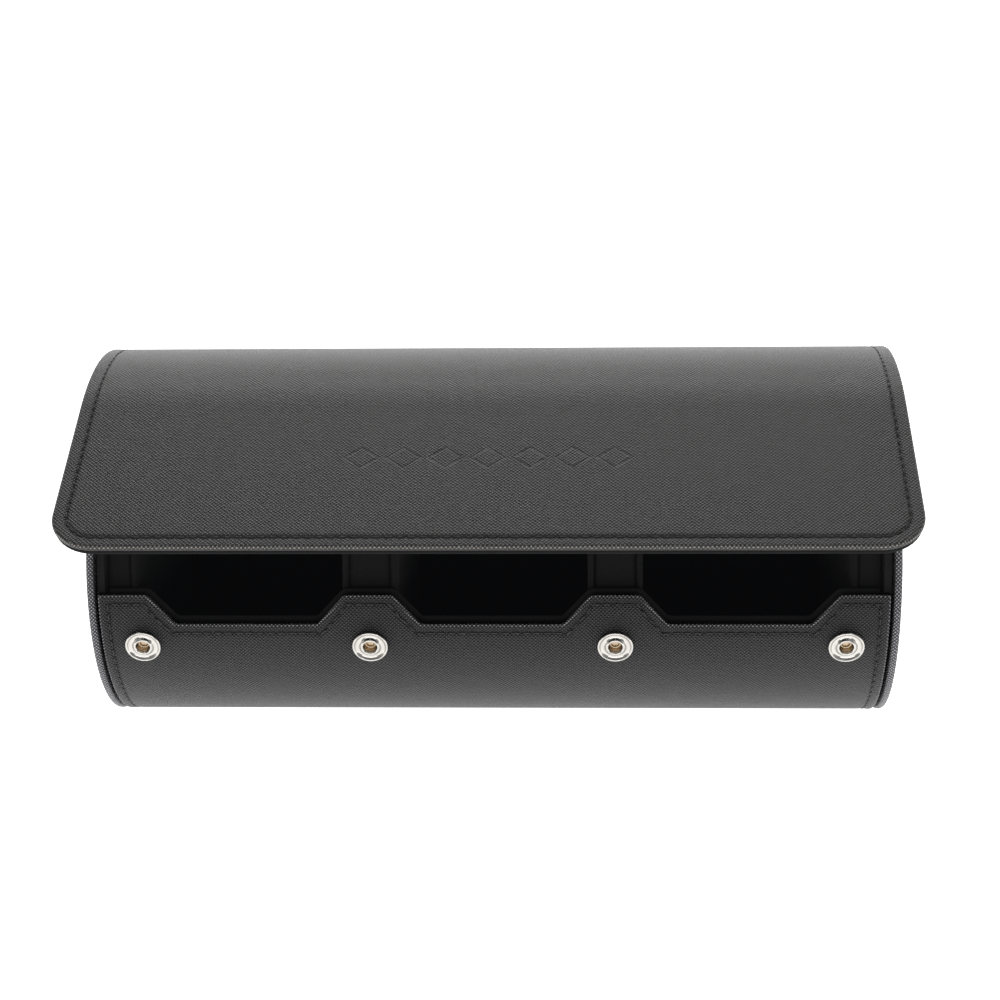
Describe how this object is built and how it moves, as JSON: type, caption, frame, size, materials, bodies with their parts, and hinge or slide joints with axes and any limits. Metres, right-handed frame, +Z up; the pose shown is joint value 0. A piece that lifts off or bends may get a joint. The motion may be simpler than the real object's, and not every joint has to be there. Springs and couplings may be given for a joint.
{
  "type": "roll case",
  "caption": "Round leather-covered roll case with open wells, velvet dividers and a soft flap that closes with snaps.",
  "frame": {"origin": "middle of the flat base", "axes": "+X along the roll to its right end, -Y to the front with the snaps, +Z up"},
  "size_m": [0.221, 0.1187, 0.1043],
  "materials": {
    "grained_leather": "fine cross-grained, satin, black",
    "greyboard": "dense greyboard, matt",
    "velvet": "short black pile",
    "foam": "velvet-faced foam",
    "nickel": "bright nickel plate"
  },
  "bodies": {
    "case": {"wrap_cover": "grained_leather", "wrap_board": "greyboard", "tray_lining": "velvet", "left_cap": "grained_leather", "left_cap_board": "greyboard", "left_end_filler": "foam", "left_end_wall": "velvet", "left_divider_near_wall": "velvet", "left_divider_far_wall": "velvet", "left_divider_filler": "foam", "right_cap": "grained_leather", "right_cap_board": "greyboard", "right_end_filler": "foam", "right_end_wall": "velvet", "right_divider_near_wall": "velvet", "right_divider_far_wall": "velvet", "right_divider_filler": "foam", "far_left_socket": "nickel", "mid_left_socket": "nickel", "mid_right_socket": "nickel", "far_right_socket": "nickel", "far_left_socket_back": "nickel", "mid_left_socket_back": "nickel", "mid_right_socket_back": "nickel", "far_right_socket_back": "nickel"},
    "flap_fold": {"fold_cover": "grained_leather", "fold_lining": "velvet"},
    "flap_spine": {"spine_cover": "grained_leather", "spine_board": "greyboard", "spine_lining": "velvet"},
    "flap_top": {"top_cover": "grained_leather", "top_board": "greyboard", "top_lining": "velvet"},
    "flap_drop": {"drop_cover": "grained_leather", "drop_board": "greyboard", "drop_lining": "velvet"},
    "flap_lip": {"lip_cover": "grained_leather", "lip_board": "greyboard", "lip_lining": "velvet", "far_left_stud": "nickel", "mid_left_stud": "nickel", "mid_right_stud": "nickel", "far_right_stud": "nickel", "far_left_rivet": "nickel", "mid_left_rivet": "nickel", "mid_right_rivet": "nickel", "far_right_rivet": "nickel"}
  },
  "joints": [
    {"name": "flap_open", "type": "hinge", "parent": "case", "child": "flap_fold", "pos_m": [0, 0.04348, 0.0601], "axis": [-1, 0, 0], "range_deg": [0, 100]},
    {"name": "flap_close", "type": "hinge", "parent": "flap_fold", "child": "flap_spine", "pos_m": [0, 0.04016, 0.06614], "axis": [1, 0, 0], "range_deg": [0, 26.57]},
    {"name": "top_bend", "type": "hinge", "parent": "flap_spine", "child": "flap_top", "pos_m": [0, 0.03339, 0.09002], "axis": [-1, 0, 0], "range_deg": [0, 12.2]},
    {"name": "drop_bend", "type": "hinge", "parent": "flap_top", "child": "flap_drop", "pos_m": [0, -0.01915, 0.10033], "axis": [1, 0, 0], "range_deg": [0, 25.35]},
    {"name": "lip_bend", "type": "hinge", "parent": "flap_drop", "child": "flap_lip", "pos_m": [0, -0.04687, 0.0957], "axis": [1, 0, 0], "range_deg": [0, 40.8]}
  ],
  "couplings": [
    {"joint": "top_bend", "follows": "flap_close", "ratio": 0.45757},
    {"joint": "drop_bend", "follows": "flap_close", "ratio": 0.95217},
    {"joint": "lip_bend", "follows": "flap_close", "ratio": 1.5339}
  ]
}
